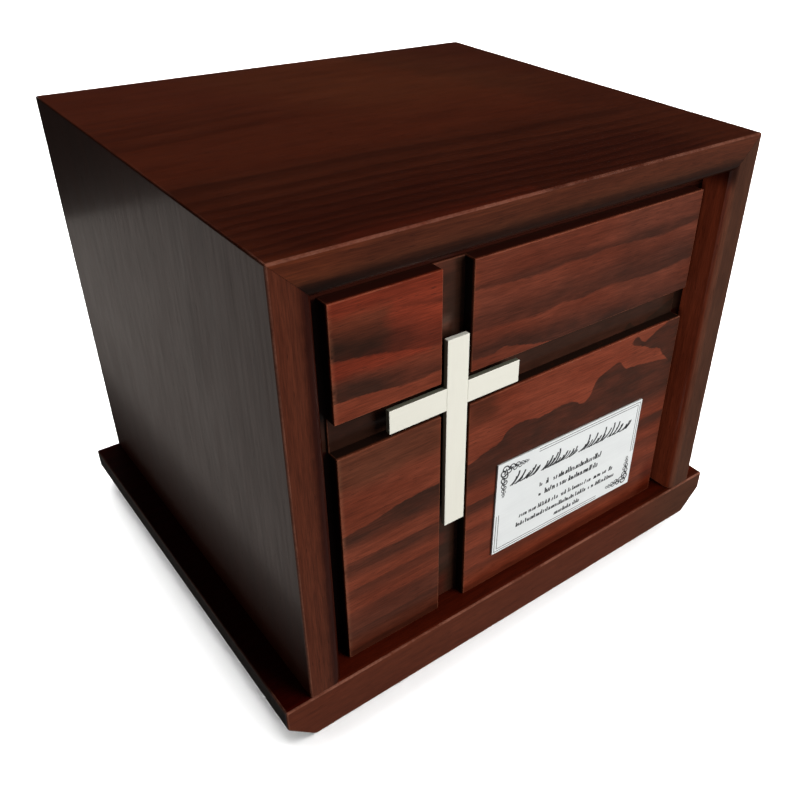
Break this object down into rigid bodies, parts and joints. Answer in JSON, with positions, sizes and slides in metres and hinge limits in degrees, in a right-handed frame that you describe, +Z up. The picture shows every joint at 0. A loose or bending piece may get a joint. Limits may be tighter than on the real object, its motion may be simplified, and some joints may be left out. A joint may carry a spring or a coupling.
{
  "type": "cremation urn box",
  "caption": "Stained wood box urn on a bevelled base board, with a panelled front, an inlaid metal cross and an engraved metal name plate.",
  "frame": {"origin": "middle of the base board's footprint, on its underside", "axes": "+X to the right across the front, +Y from the front to the back, +Z up"},
  "size_m": [0.22, 0.183, 0.181],
  "materials": {
    "case_wood": "satin dark red-brown stain",
    "panel_wood": "satin red-brown stain with dark growth bands",
    "cross_metal": "satin faces, brushed ends",
    "plate_metal": "satin, dark engraved strokes"
  },
  "bodies": {
    "root": {"base_board": "case_wood", "left_side": "case_wood", "right_side": "case_wood", "top_board": "case_wood", "back_board": "case_wood", "front_panel": "panel_wood", "cross_upright": "cross_metal", "cross_arm": "cross_metal", "name_plate": "plate_metal"}
  },
  "joints": []
}
